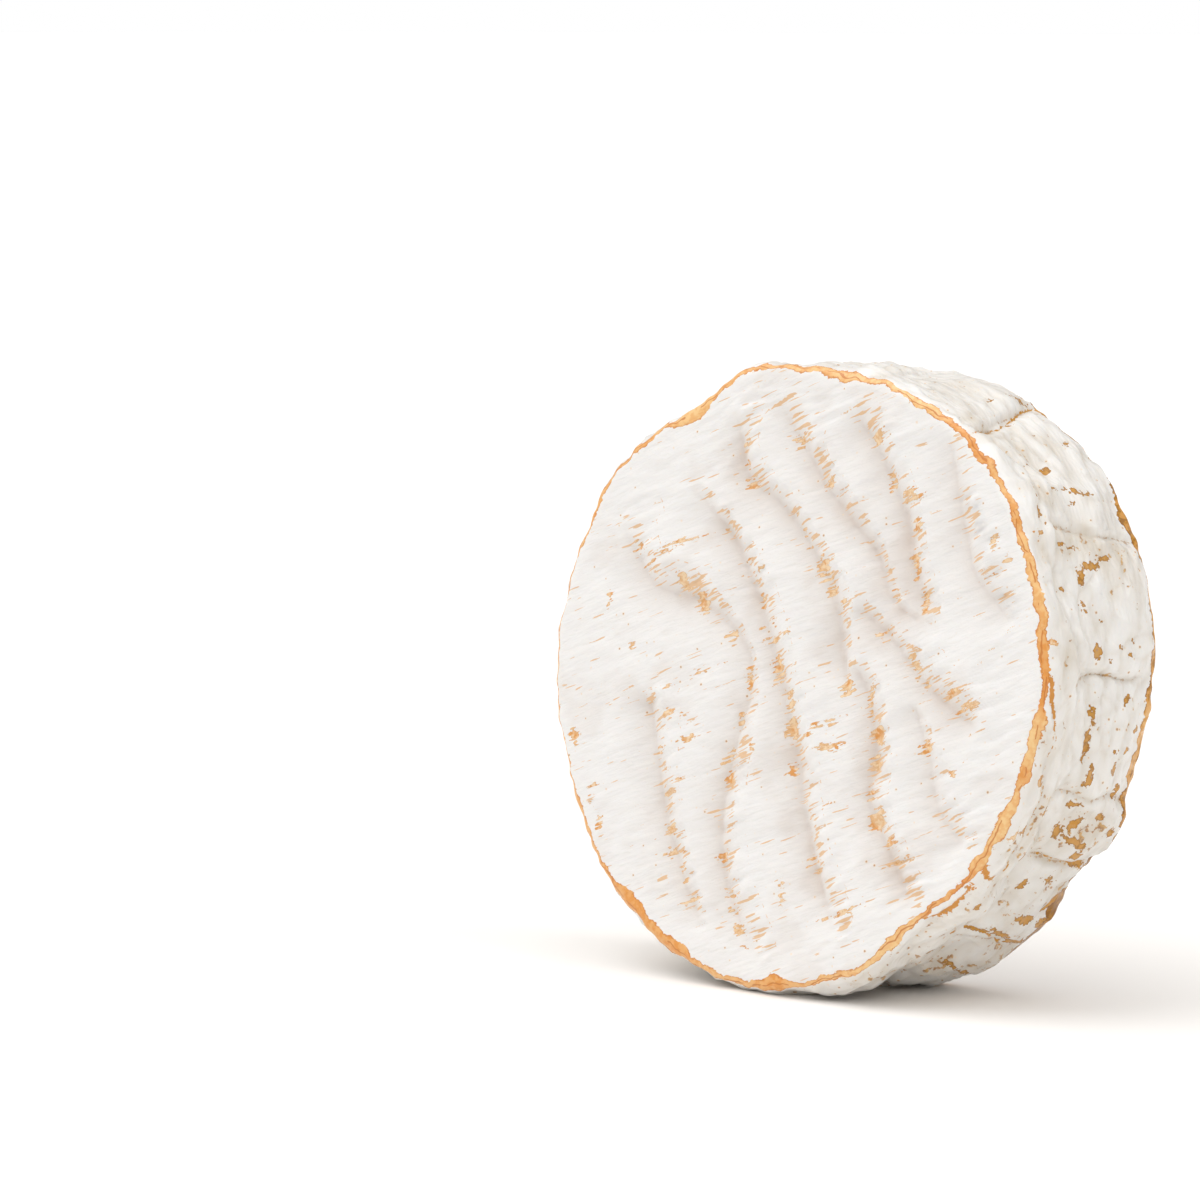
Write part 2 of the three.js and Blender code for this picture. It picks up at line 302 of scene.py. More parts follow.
SETTLED_SHIFT = 70
BACK_SWELL_HEIGHT = 1.3
BACK_SWELL_AT = 22
BACK_SWELL_WIDTH = 7
FOLD_AT = -58
FOLD_WIDTH = 30
# Waves round the side: height, crests, degrees of drift for each millimetre behind, start.
SIDE_LUMPS = [(0.35, 9, 12, 0), (0.35, 14, -9.5, 40)]

# Creases across the side: angle, from, to (share of the thickness), depth, slant from front to back.
SEEN_CREASES = [
    (57, 0.12, 0.95, 0.5, 8),
    (31, 0.22, 1.0, 0.7, -5),
    (4, 0.25, 0.85, 0.8, 2),
    (-17, 0.3, 0.98, 0.6, 3),
    (-31, 0.45, 1.0, 1.0, 2),
    (-52, 0.4, 0.8, 0.6, 6),
]
# The hidden creases go on round the side. What varies gives its middle, spread and pace.
HIDDEN_CREASE_COUNT = 11
HIDDEN_CREASES_FROM = 84
HIDDEN_CREASES_SPAN = 205
HIDDEN_STAGGER = (0, 0.35, 2.4)
HIDDEN_START = (0.25, 0.15, 1.7)
HIDDEN_END = (0.9, 0.1, 2.9)
HIDDEN_DEPTH = (0.55, 0.25, 4.1)
HIDDEN_SLANT = (0, 6, 3.3)
CREASE_WIDTH = 1.9
CREASE_END = 0.08
CREASE_WANDER = 2.2
CREASE_WANDER_LENGTH = 6

# Narrow folds: depth, half the width of the bare skin in them (less than nothing where the mould
# covers it), and a few points as (angle, behind the front face).
SEEN_FOLDS = [
    (0.7, -0.5, [(60, 1.5), (51, 5.5), (46, 8.3), (42, 8.6), (38, 7), (34, 5.5), (30, 4)]),
    (0.5, 0.2, [(52, 0.5), (53.5, 6), (56.5, 13.5), (60.5, 22.8), (62.5, 29.5)]),
    (0.4, 0.4, [(6, -0.2), (1, 2), (-2.5, 3.2), (-6, 4)]),
    (0.5, -0.05, [(-5, 4.3), (-10, 4.6), (-14, 5.2), (-20, 6), (-30, 5.5), (-40, 5)]),
    (0.5, 0.45, [(-32, 0.8), (-34, 1.8), (-35, 3.2), (-34.5, 5.4)]),
    (0.5, 0.45, [(-49, -0.4), (-48, 1.6), (-45.5, 2.3), (-42, 2.1), (-39, 1.6), (-36, 1.4)]),
    (0.4, 0.15, [(-53, 8), (-50, 14), (-50.5, 20), (-52, 24)]),
    (0.3, 0.1, [(-30, 15), (-30.5, 22), (-32, 29)]),
    (0.6, -0.3, [(26, 8), (20, 6.2), (14, 6.5), (8, 8.5), (4, 9)]),
    (0.5, -0.4, [(24, 17), (19, 12), (12, 11), (6, 13)]),
    (0.5, -0.4, [(-20, 9), (-26, 12), (-33, 12.5), (-40, 14)]),
]
NOT_BARE = -1  # half width where there is no bare skin
FOLD_WANDER = 0.3  # how much of the creases' wander the folds share
FOLD_EDGE = 0.7
FOLD_LIP_HEIGHT = 0.5
FOLD_LIP_OFFSET = 1.9
FOLD_LIP_WIDTH = 1.1


def turn(a, b):
    """The difference of two angles, from -180 to 180."""
    return (a - b + 180) % 360 - 180


def varied(middle_spread_pace, index):
    middle, spread, pace = middle_spread_pace
    return middle + spread * math.sin(pace * index)


def hidden_crease(index):
    place = (index + varied(HIDDEN_STAGGER, index)) / (HIDDEN_CREASE_COUNT - 1)
    return (
        HIDDEN_CREASES_FROM + HIDDEN_CREASES_SPAN * place,
        varied(HIDDEN_START, index),
        varied(HIDDEN_END, index),
        varied(HIDDEN_DEPTH, index),
        varied(HIDDEN_SLANT, index),
    )


def rim_offset(swellings):
    return sum(height * bell(turn(angle, at) / width) for at, height, width in swellings)


def rumpled(x, y, z):
    """Soft noise, from about -1 to 1, whose bumps are about one unit apart."""
    return np.array([noise.noise(Vector(place)) for place in zip(x, y, z)])


def side_noise(back, length, width, shift=0):
    """Soft noise in bumps of this length round the side and this width from front to back. Each
    shift gives other bumps."""
    return rumpled(side_x / length, back / width + shift, side_z / length)


def off_faces(reach):
    """From 0 at either face to 1 as far from it as the reach."""
    return smoothstep(behind, 0, reach) * smoothstep(THICKNESS - behind, 0, reach)


side_x = right / np.maximum(radius, 1) * RIM_RADIUS
side_z = above / np.maximum(radius, 1) * RIM_RADIUS
wander = CREASE_WANDER * side_noise(behind, CREASE_WANDER_LENGTH, CREASE_WANDER_LENGTH)

crease_depth = np.zeros_like(angle)
crease_across = np.full_like(angle, FAR)
for at, start, end, most, slant in SEEN_CREASES + [hidden_crease(i) for i in range(HIDDEN_CREASE_COUNT)]:
    across = np.radians(turn(angle, at + slant * (share - 0.5))) * RIM_RADIUS + wander
    within = smoothstep(share, start - CREASE_END, start + CREASE_END)
    within *= smoothstep(-share, -end - CREASE_END, -end + CREASE_END)
    depth = most * within * bell(across / CREASE_WIDTH)
    crease_across = np.where(depth > crease_depth, np.clip(across, -FAR, FAR), crease_across)
    crease_depth = np.maximum(crease_depth, depth)

fold_depth = np.zeros_like(angle)
fold_lip = np.zeros_like(angle)
fold_across = np.full_like(angle, FAR)
fold_bare = np.full_like(angle, NOT_BARE)
for most, half_bare, path in SEEN_FOLDS:
    samples = sampled_path([(math.radians(at) * RIM_RADIUS, back) for at, back in path])
    along, distance = nearest_on_path(samples, arc, behind)
    distance = distance + FOLD_WANDER * wander
    away = np.abs(distance)
    strength = most * smoothstep(along, 0, GROOVE_END) * smoothstep(1 - along, 0, GROOVE_END)
    depth = strength * np.exp(-away / FOLD_EDGE)
    fold_across = np.where(depth > fold_depth, distance, fold_across)
    fold_bare = np.where(depth > fold_depth, half_bare, fold_bare)
    fold_depth = np.maximum(fold_depth, depth)
    fold_lip = np.maximum(fold_lip, strength * bell((away - FOLD_LIP_OFFSET) / FOLD_LIP_WIDTH))

folded = bell(turn(angle, FOLD_AT) / FOLD_WIDTH)
waist_at = WAIST_AT - WAIST_SWAY * np.sin(np.radians(angle))
settled = behind + SETTLED_WANDER * side_noise(behind, SETTLED_LENGTH, SETTLED_LENGTH, SETTLED_SHIFT)
shoulder = (SHOULDER_HEIGHT + SHOULDER_FOLDED * folded) * bell((settled - SHOULDER_AT) / SHOULDER_WIDTH)
waist = (WAIST_DEPTH + WAIST_FOLDED * folded) * bell((settled - waist_at) / WAIST_WIDTH)
back_swell = BACK_SWELL_HEIGHT * bell((behind - BACK_SWELL_AT) / BACK_SWELL_WIDTH)
lumps = sum(
    height * np.sin(np.radians(crests * angle + drift * behind + start))
    for height, crests, drift, start in SIDE_LUMPS
)
on_side = off_faces(RELIEF_REACH)
side_offset = (
    rim_offset(FRONT_RIM_SWELLINGS) * (1 - share)
    + rim_offset(BACK_RIM_SWELLINGS) * share
    + shoulder
    - waist
    + back_swell
    + (lumps - crease_depth) * on_side
)

# The browned places
#
# Where the white mould has rubbed off or dried, the tan skin under it shows: in patches on the steep
# side of the grooves, in a broken band along both rims, and in a few marks on the side.

# On the front face: right of and above the centre, width, height, tilt.
FRONT_PATCHES = [
    (14.2, 41.7, 4, 2.4, 25), (-2.6, 40.5, 3.5, 1.4, 25), (5, 33.8, 2.5, 1.2, 20),
    (17.7, 34.3, 2, 3.8, 15), (22.6, 31.7, 4, 1.8, 15), (24, 26.7, 3, 2.6, 30), (24, 20, 2.4, 5, 10),
    (-12.9, 31.9, 2.8, 2.2, 0), (5.1, 18.4, 3, 4.4, 35), (7.7, 14.6, 2.4, 1.6, 0),
    (10.5, 12.3, 2.6, 1.6, 30), (-35.7, 18.7, 3.2, 1.8, 15), (-33, 16.1, 3.3, 1.4, 25),
    (-28, 19.3, 6, 0.8, 27), (-25.5, 13.5, 2.6, 2.6, 20), (-21.4, 10.5, 3, 4, 25),
    (-18.4, 23.8, 1.3, 1.3, 0), (-9.1, 17.1, 3.5, 0.8, 20), (-8.2, 12.2, 1.8, 1.8, 0),
    (-4, 5.4, 4.6, 1.2, 20), (-3, 0.6, 2.8, 5.6, 0), (-13.6, 5.4, 2.4, 1.4, 15), (-9, -1.5, 1.8, 5, 0),
    (-18.8, -1.9, 4, 1.2, 25), (-25.6, -9.3, 2.8, 2.4, 0), (-21.1, -13.4, 4.2, 1.1, 25),
    (-10, -9.3, 1.4, 3, 5), (-11.5, -15.8, 3, 1.2, 20), (-10.9, -19.3, 2.6, 2.4, 0),
    (-27.7, -16, 3, 1.6, 20), (-24, -22.2, 5, 1.4, 25), (-23.4, -29.6, 3.2, 1.6, 15),
    (-22, -33, 4, 1.4, 28), (-16.4, -40.6, 2.8, 1.2, 20), (-10.9, -32.6, 2.4, 2, 0),
    (-8.7, -38.6, 2.2, 1.4, 0), (-7.4, -41.3, 2, 1.4, 20), (-5.3, -44.9, 2, 2.4, 20),
    (0.5, -5, 2.6, 3.4, 20), (1.2, -9.6, 3, 4, 10), (7.3, -9.3, 3, 1, 28), (10.2, -8.1, 2.6, 1.2, 28),
    (11.2, -12.4, 5, 1.6, 20), (2.1, -16.3, 2.4, 2, 0), (8.6, -23.6, 3.2, 1.1, 20),
    (8.4, -31.3, 3, 1.6, 10), (12.4, -1.8, 2.2, 3.5, 0), (20, 8, 3.6, 1, 15), (20.7, 15.5, 1.8, 1.4, 0),
    (27, 14.8, 1.6, 4, 10), (25.4, 4.8, 2, 1.4, 0), (26.7, 2.7, 2.6, 2.4, 0), (35.4, -0.6, 3, 1.2, 20),
    (38.4, -2.6, 4, 1.2, 25), (17.7, -3.7, 1.3, 5.5, 0), (20.3, -9, 4, 3.6, 20),
    (20.5, -14, 2.2, 2.4, 0), (20.3, -19.6, 2, 2.6, 0), (22.5, -24.4, 4.6, 4, 25),
    (26.5, -28, 3.4, 1.6, 25), (30.8, -10.2, 2.8, 2.6, 25), (36.6, -14, 1.6, 1.2, 0),
    (28.6, -31, 4, 1, 28), (16.3, -39.9, 7, 1.2, 18), (41, 24.9, 2.6, 2.8, 0), (41.6, 19.7, 5, 0.9, 30),
    (-47.5, -15.4, 2, 3.2, 20), (-42.4, -24.4, 3, 1.2, 35), (-39.5, -30, 1.2, 3, 20),
    (-41.9, 10.2, 1, 2.4, 0),
]
# Spots a millimetre or so across: right of and above the centre.
FRONT_SPOTS = [
    (-14.7, 38.4), (-14.2, 35.4), (-1.9, 27.7), (-0.4, 24.6), (1.3, 22.2), (-12, 19.1),
    (-7.8, 11), (-7.6, 7), (-4.4, 8.4), (-13.5, 4.2), (-26.3, -4.9), (-22.8, -9.6),
    (-5.9, -13.6), (-25.8, -19.4), (-19.5, -35.1), (-18.3, -37.5), (-3.9, -46.9), (2.8, -36),
    (3.3, -38.4), (18, 7.9), (26.9, 16.5), (27.3, 13.3), (29, 0), (44.4, 22.4),
    (-41.9, -27), (-35.2, 1.9),
]
SPOT_SIZE = 1.3

# On the back face, patches lie along the grooves, most of them to the right of the groove's line.
BACK_PATCHES_PER_GROOVE = 12
BACK_PATCH_MARGIN = 3  # samples of a groove's path without a patch, at either end
BACK_PATCH_OFFSET = (-0.5, 3.5)
BACK_PATCH_WIDTH = (1.2, 4.5)
BACK_PATCH_HEIGHT = (0.9, 3)
BACK_PATCH_TILT = (-25, -10)

# On the side: angle, behind the front face, length round the wheel, width, tilt.
SIDE_MARKS = [
    (63, 16.5, 0.9, 0.9, 0), (53.5, 29, 1, 2, 0), (49.5, 23.2, 0.7, 2.2, -30), (48, 5.2, 0.6, 2, 0),
    (45, 10.5, 0.7, 1.8, 0), (44.5, 29.4, 1, 1, 0), (43.5, 14.5, 1.3, 1.4, -30),
    (39, 11.5, 0.8, 1.6, 10), (37.6, 18.6, 0.8, 3, -5), (36, 15.2, 0.5, 1.6, 0), (34, 5.5, 3.4, 0.5, 0),
    (30, 3.5, 0.8, 1.4, 0), (28, 8.2, 1, 1.8, 0), (27.5, 11.2, 0.8, 2.4, 0), (20, 7.5, 0.7, 1.5, 0),
    (17, 23.5, 0.8, 0.8, 0), (14.5, 16, 0.8, 0.9, 0), (11, 22.5, 1, 0.9, 0), (10, 19.2, 0.9, 1, 0),
    (8.7, 21.2, 0.9, 1, 0), (7.5, 17, 0.6, 0.7, 0), (-7.6, 22.5, 0.9, 1, 0), (-8, 19.8, 0.7, 0.8, 0),
    (-11.5, 27.6, 1.8, 1.6, -40), (-18.5, 15, 0.8, 1.4, 0), (-24, 4.8, 1.3, 0.9, 20),
    (-25, 2.4, 1.2, 0.7, 20), (-41, 5.5, 0.8, 0.9, 0), (-48.5, 19.5, 0.8, 3.6, 10),
    (-49.5, 15.5, 0.5, 3, -10), (-56.5, 9.5, 0.9, 1.4, 0), (-60, 18, 0.7, 1.8, 0),
    (-60.5, 23, 0.8, 2.4, 0), (22.3, 12.6, 2.6, 1.3, 10), (24.2, 14.8, 1.4, 4, 0),
    (25.6, 18.4, 0.9, 4, 10), (17, 12, 2.2, 0.8, 0), (9, 14, 2.4, 2.4, 45), (-1.8, 13.6, 1.8, 1, 0),
    (-6.6, 13.6, 4.4, 0.9, 0), (-8, 13.8, 1.8, 1.4, 0), (-13, 15.4, 3.2, 1.1, 5),
    (-24.3, 14.9, 2.4, 1.1, -20), (-25.4, 18.8, 0.9, 3.6, 10), (-30.6, 25, 1.2, 2.6, 0),
    (10, 1.8, 1.4, 1.4, 0), (-14.5, 4.2, 1.5, 1.2, 30), (38.5, 16.5, 1.1, 3.6, 15),
    (44, 14.5, 1.2, 1.6, 20), (63, 24, 0.8, 4.5, 10), (57, 16, 0.9, 2.4, 20), (61, 29, 1.4, 1.6, 0),
    (-40, 26, 3.4, 1.6, 10), (-45, 28, 2, 2.6, 0), (1, 22, 1.6, 0.9, 30), (-4, 25, 1.2, 1.4, 0),
    (-11, 21, 1.6, 1, 20), (-15, 24, 2, 0.8, -20), (-20, 22, 1, 1.4, 0), (-22, 17, 2.6, 0.8, 30),
    (-22.5, 26, 1.4, 1.1, 0), (-28, 21, 1.4, 1.6, 0), (-35, 21, 1.2, 2.2, 15), (-37, 16, 1.6, 0.9, 0),
    (-44, 22, 1.2, 3.2, 0), (-50, 25, 1.2, 3.4, -10), (-20, 8, 1.4, 1.2, 0), (-30, 9, 1.4, 1, 20),
]
HIDDEN_MARK_COUNT = 50
HIDDEN_MARKS_FROM = 75
HIDDEN_MARKS_TO = 290
HIDDEN_MARKS_BEHIND = (0.1, 0.9)  # share of the thickness
HIDDEN_MARK_LENGTH = (0.8, 3.4)
HIDDEN_MARK_WIDTH = (0.7, 2)
HIDDEN_MARK_TILT = (-30, 30)

# The browned band along a rim: angle, how far behind the rim's corner, half its width, and how
# deep its colour is, from 0 to 1.
FRONT_BAND = [
    (178, -0.3, 0.2, 0.6), (166, -0.3, 0.15, 0.5), (151, -0.5, 0.8, 0.7), (144, -0.5, 0.2, 0.5),
    (137, -0.6, 0.7, 0.7), (129, -0.6, 0.35, 0.5), (121, -1.3, 1.8, 0.3), (114, -0.7, 0.6, 0.6),
    (105, -0.3, 0.45, 0.6), (97, 0, 0.7, 0.4), (88, 0.1, 1.2, 0.5), (79, -0.1, 0.6, 0.4),
    (70, -0.3, 0.5, 0.3), (65, -0.5, 0.85, 0.2), (61, -0.5, 1.0, 0.3), (56, -0.3, 0.5, 0.8),
    (52, -0.3, 0.5, 0.9), (47, -0.3, 0.45, 0.8), (39, -0.2, 0.5, 0.5), (33, -0.3, 0.65, 0.8),
    (28, -0.1, 0.65, 0.4), (17, -0.1, 0.85, 0.4), (8, 0, 0.75, 0.9), (2, 0.2, 0.45, 1.0),
    (-1.5, 0, 0.4, 1.0), (-4, -0.3, 1.1, 0.3), (-8, -0.4, 1.3, 0.2), (-11, -0.3, 1.0, 0.3),
    (-14, 0.3, 1.0, 0.9), (-17, -0.3, 0.65, 0.4), (-20, -0.4, 0.95, 0.3), (-27, -0.6, 1.0, 0.2),
    (-29, -0.6, 0.5, 0.5), (-33, -0.2, 1.3, 0.4), (-36, -0.4, 0.4, 0.9), (-40, -0.6, 0.25, 0.8),
    (-47, -0.4, 0.45, 0.7), (-50, -0.5, 0.5, 0.4), (-58, -0.4, 1.1, 0.1), (-67, -0.5, 0.45, 0.3),
    (-76, -0.9, 0.5, 0.4), (-80, -0.3, 0.5, 0.5), (-86, -0.9, 1.7, 0.9), (-92, -0.3, 0.7, 0.6),
    (-102, -0.3, 0.8, 0.5), (-110, -0.8, 1.3, 0.9), (-118, -0.7, 1.4, 0.8), (-124, -1.1, 1.9, 1.0),
    (-130, -0.5, 1.1, 0.8), (-142, -0.4, 0.9, 0.7), (-153, -0.2, 0.5, 0.6), (-167, -0.3, 0.2, 0.6),
]
BACK_BAND = [
    (95, 0, 0.5, 0.5), (80, 0, 0.2, 0.5), (70, -0.6, 0.5, 0.7), (63, -0.9, 0.7, 0.8),
    (57, -0.3, 0.2, 0.6), (53.5, -1.0, 0.9, 0.9), (50, -0.2, 0.15, 0.6), (44, -0.5, 0.4, 0.8),
    (36, -0.7, 0.5, 0.8), (33.5, -1.1, 1.0, 0.9), (30, -0.9, 0.8, 0.9), (24, -0.8, 0.6, 0.8),
    (20, -1.1, 1.1, 0.4), (15, -0.8, 0.7, 0.7), (9, -1.2, 1.0, 0.8), (5, -0.8, 0.6, 0.8),
    (2, -1.2, 1.1, 0.8), (-1, -1.0, 1.0, 0.5), (-4, -1.3, 1.2, 0.4), (-7, -0.8, 0.7, 0.7),
    (-10.5, -1.4, 1.5, 0.6), (-14, -0.7, 0.6, 0.8), (-16.5, -1.2, 1.1, 0.9), (-20, -0.8, 0.7, 0.9),
    (-26, -0.7, 0.6, 0.9), (-29, -0.6, 0.6, 1.0), (-32.5, -1.1, 1.1, 1.1), (-34.5, -1.8, 1.5, 1.1),
    (-36, -0.7, 0.5, 1.0), (-38.5, -1.4, 1.2, 1.1), (-42, -1.3, 1.2, 1.2), (-44, -0.6, 0.5, 1.0),
    (-48, -1.1, 1.0, 1.2), (-52, -0.7, 0.6, 1.1), (-55, -1.0, 0.9, 1.2), (-60, -0.5, 0.4, 1.0),
    (-70, -0.2, 0.4, 0.6), (-95, -0.3, 1.0, 0.5), (-120, -0.2, 0.5, 0.5), (-150, -0.4, 1.1, 0.6),
    (178, -0.1, 0.4, 0.5), (150, -0.4, 1.0, 0.6), (120, -0.2, 0.6, 0.5),
]
FRONT_BAND_SPREAD = 0.22  # how much further the tan spreads on either side, in a thin film
BACK_BAND_SPREAD = 0.7
NO_BAND = -6  # half width where there is no band


def patch_field(patches, x, z):
    """About how many millimetres inside the nearest patch (x, z) lies, negative outside."""
    field = np.full_like(x, -FAR)
    for at_x, at_z, width, height, tilt in patches:
        cos, sin = math.cos(math.radians(tilt)), math.sin(math.radians(tilt))
        along = (x - at_x) * cos + (z - at_z) * sin
        across = (z - at_z) * cos - (x - at_x) * sin
        inside = 1 - np.hypot(2 * along / width, 2 * across / height)
        field = np.maximum(field, inside * min(width, height) / 2)
    return field


def band_round(band, from_corner):
    """The distance from the middle of the band along a rim, half the band's width there, and how
    deep its colour is."""
    at, middle, half_width, depth = np.array(band, dtype=float).T
    across = from_corner - np.interp(angle, at, middle, period=360)
    return across, np.interp(angle, at, half_width, period=360), np.interp(angle, at, depth, period=360)


chance = random.Random(7)

back_patches = []
for _, samples in back_grooves:
    for _ in range(BACK_PATCHES_PER_GROOVE):
        at_x, at_z = samples[chance.randrange(BACK_PATCH_MARGIN, PATH_SAMPLES + 1 - BACK_PATCH_MARGIN)]
        back_patches.append(
            (
                at_x + chance.uniform(*BACK_PATCH_OFFSET),
                at_z,
                chance.uniform(*BACK_PATCH_WIDTH),
                chance.uniform(*BACK_PATCH_HEIGHT),
                chance.uniform(*BACK_PATCH_TILT),
            )
        )

hidden_marks = [
    (
        chance.uniform(HIDDEN_MARKS_FROM, HIDDEN_MARKS_TO),
        chance.uniform(*HIDDEN_MARKS_BEHIND) * THICKNESS,
        chance.uniform(*HIDDEN_MARK_LENGTH),
        chance.uniform(*HIDDEN_MARK_WIDTH),
        chance.uniform(*HIDDEN_MARK_TILT),
    )
    for _ in range(HIDDEN_MARK_COUNT)
]
side_marks = [
    (math.radians(turn(at, 0)) * RIM_RADIUS, *rest) for at, *rest in SIDE_MARKS + hidden_marks
]

front_patches = FRONT_PATCHES + [(x, z, SPOT_SIZE, SPOT_SIZE, 0) for x, z in FRONT_SPOTS]
browned = np.full_like(angle, -FAR)
browned[on_front] = patch_field(front_patches, right[on_front], above[on_front])
browned[on_back] = patch_field(back_patches, right[on_back], above[on_back])
between = ~(on_front | on_back) | (radius > RIM_RADIUS - EDGE_ROUNDING)
browned[between] = np.maximum(browned[between], patch_field(side_marks, arc[between], behind[between]))

from_front_corner = behind - (RIM_RADIUS - radius)
from_back_corner = (RIM_RADIUS - radius) - (THICKNESS - behind)
front_band = band_round(FRONT_BAND, from_front_corner)
back_band = band_round(BACK_BAND, from_back_corner)
nearer_back = behind > THICKNESS / 2
band_at, band_half_width, band_depth = (
    np.where(nearer_back, of_back, of_front) for of_front, of_back in zip(front_band, back_band)
)
band_half_width = band_half_width + np.where(nearer_back, BACK_BAND_SPREAD, FRONT_BAND_SPREAD)
band_half_width = np.where(np.abs(band_at) > FAR, NO_BAND, band_half_width)

# The skin's fine relief
#
# The mould grows in soft strokes, all one way, and the browned skin lies a little lower than the
# white. The side has dried smoother, in small lumps, with fine wrinkles that follow the rims.

STROKE_TILT = 23
STROKE_LENGTH = 5
STROKE_WIDTH = 1.3
STROKE_HEIGHT = 0.6
STROKES_APART = 9  # between the faces, so that each has strokes of its own
STROKES_STEEPEST = 3  # how far right of a groove's line the strokes are deepest
STROKES_SPREAD = 3.2
STROKES_SHALLOWEST = 0.3
FACE_DIMPLE_SIZE = 7
FACE_DIMPLE_HEIGHT = 0.45
GROOVE_LINE_DEPTH = 0.6
GROOVE_LINE_WIDTH = 1.3
HOLLOW_WIDTH = 1.4
HOLLOW_SPREAD = 0.4
BROWNED_SINK = 0.14
SUNK_FROM = -0.3  # inside the edge of a browned place
SUNK_AT = 0.5
SIDE_LUMP_SIZE = 6
SIDE_LUMP_HEIGHT = 0.8
SIDE_SWAY = 2  # how far the side's folds and ridges sway with its lumps
SIDE_FOLD_LENGTH = 12
SIDE_FOLD_WIDTH = 3.6
SIDE_FOLD_DEPTH = 0.45
SIDE_RIDGE_LENGTH = 8
SIDE_RIDGE_WIDTH = 4
SIDE_RIDGE_HEIGHT = 0.55
SIDE_RIDGE_SHIFT = 20
SIDE_PILLOW_SIZE = 4.5
SIDE_PILLOW_DEPTH = 0.22
SIDE_PILLOW_SHIFT = 50
PILLOW_EDGE = 0.2
WRINKLE_LENGTH = 9
WRINKLE_WIDTH = 1.8
WRINKLE_HEIGHT = 0.25
CREASE_LINE_DEPTH = 0.2
CREASE_LINE_WIDTH = 0.7
CREASE_LIP_HEIGHT = 0.75
CREASE_LIP_OFFSET = 1.6
CREASE_LIP_WIDTH = 0.9
SIDE_DETAIL_REACH = 2.2
RIM_CHIP_SIZE = 2.4
RIM_CHIP_HEIGHT = 0.5
RIM_CHIP_REACH = 2.5
FOLD_HOLLOW = 0.6
PILLOW_HOLLOW = 0.4


def creased(noise_here):
    """Narrow lines between round pillows, from 1 on a line to 0 on a pillow."""
    return np.exp(-np.abs(noise_here) / PILLOW_EDGE)


tilt = math.radians(STROKE_TILT)
stroke_along = (right * math.cos(tilt) + above * math.sin(tilt)) / STROKE_LENGTH
stroke_up = (above * math.cos(tilt) - right * math.sin(tilt)) / STROKE_WIDTH
strokes = rumpled(stroke_along, behind / THICKNESS * STROKES_APART, stroke_up)
stroke_strength = STROKES_SHALLOWEST + bell((groove_across - STROKES_STEEPEST) / STROKES_SPREAD)
dimples = rumpled(right / FACE_DIMPLE_SIZE, behind, above / FACE_DIMPLE_SIZE)
groove_line = groove_depth * np.exp(-np.abs(groove_across) / GROOVE_LINE_WIDTH)
sunk = BROWNED_SINK * smoothstep(browned, SUNK_FROM, SUNK_AT)
off_rim = smoothstep(RIM_RADIUS - radius, 0, RELIEF_MARGIN)
face_detail = (
    (STROKE_HEIGHT * strokes * stroke_strength + FACE_DIMPLE_HEIGHT * dimples) * off_rim
    - GROOVE_LINE_DEPTH * groove_line
    - sunk
)

side_lumps = side_noise(behind, SIDE_LUMP_SIZE, SIDE_LUMP_SIZE)
swayed = behind + SIDE_SWAY * side_lumps
fold_creases = creased(side_noise(swayed, SIDE_FOLD_LENGTH, SIDE_FOLD_WIDTH))
ridges = creased(side_noise(swayed, SIDE_RIDGE_LENGTH, SIDE_RIDGE_WIDTH, SIDE_RIDGE_SHIFT))
pillow_creases = creased(side_noise(behind, SIDE_PILLOW_SIZE, SIDE_PILLOW_SIZE, SIDE_PILLOW_SHIFT))
wrinkles = side_noise(behind, WRINKLE_LENGTH, WRINKLE_WIDTH)
crease_line = crease_depth * bell(crease_across / CREASE_LINE_WIDTH)
crease_lip = bell((np.abs(crease_across) - CREASE_LIP_OFFSET) / CREASE_LIP_WIDTH) * crease_depth
chips = side_noise(behind, RIM_CHIP_SIZE, RIM_CHIP_SIZE)
near_rim = bell(np.minimum(np.abs(from_front_corner), np.abs(from_back_corner)) / RIM_CHIP_REACH)
side_detail = (
    SIDE_LUMP_HEIGHT * side_lumps
    - SIDE_FOLD_DEPTH * fold_creases
    + SIDE_RIDGE_HEIGHT * ridges
    - SIDE_PILLOW_DEPTH * pillow_creases
    + WRINKLE_HEIGHT * wrinkles
    - CREASE_LINE_DEPTH * crease_line
    + CREASE_LIP_HEIGHT * crease_lip
    - fold_depth
    + FOLD_LIP_HEIGHT * fold_lip
    - sunk
) * off_faces(SIDE_DETAIL_REACH) + RIM_CHIP_HEIGHT * chips * near_rim

# How deep in a hollow each place lies: in the grooves of the faces and the creases of the side. The
# material paints shade there by darkening the white, and puts more of the side's specks there.
in_groove = groove_depth * (
    HOLLOW_SPREAD + (1 - HOLLOW_SPREAD) * np.exp(-np.abs(groove_across) / HOLLOW_WIDTH)
)
in_crease = np.maximum(FOLD_HOLLOW * fold_creases, PILLOW_HOLLOW * pillow_creases)
in_crease = np.maximum(in_crease, fold_depth + crease_line)
hollow = np.clip(np.maximum(in_groove, in_crease * on_side), 0, 1)

# The wheel as it stands
#
# The shaped wheel leans back a little, and where its soft edge meets the table it has settled flat.

LEAN = 8.5
CENTRE_HEIGHT = 53.2

stretch = 1 + (side_offset + side_detail) / RIM_RADIUS
near_front = smoothstep(-behind, -RELIEF_REACH, 0)
near_back = smoothstep(behind - THICKNESS, -RELIEF_REACH, 0)
raised = (near_back - near_front) * (face_height + face_detail)
shaped = np.stack([right * stretch, plain[:, 1] + raised, above * stretch], axis=1)

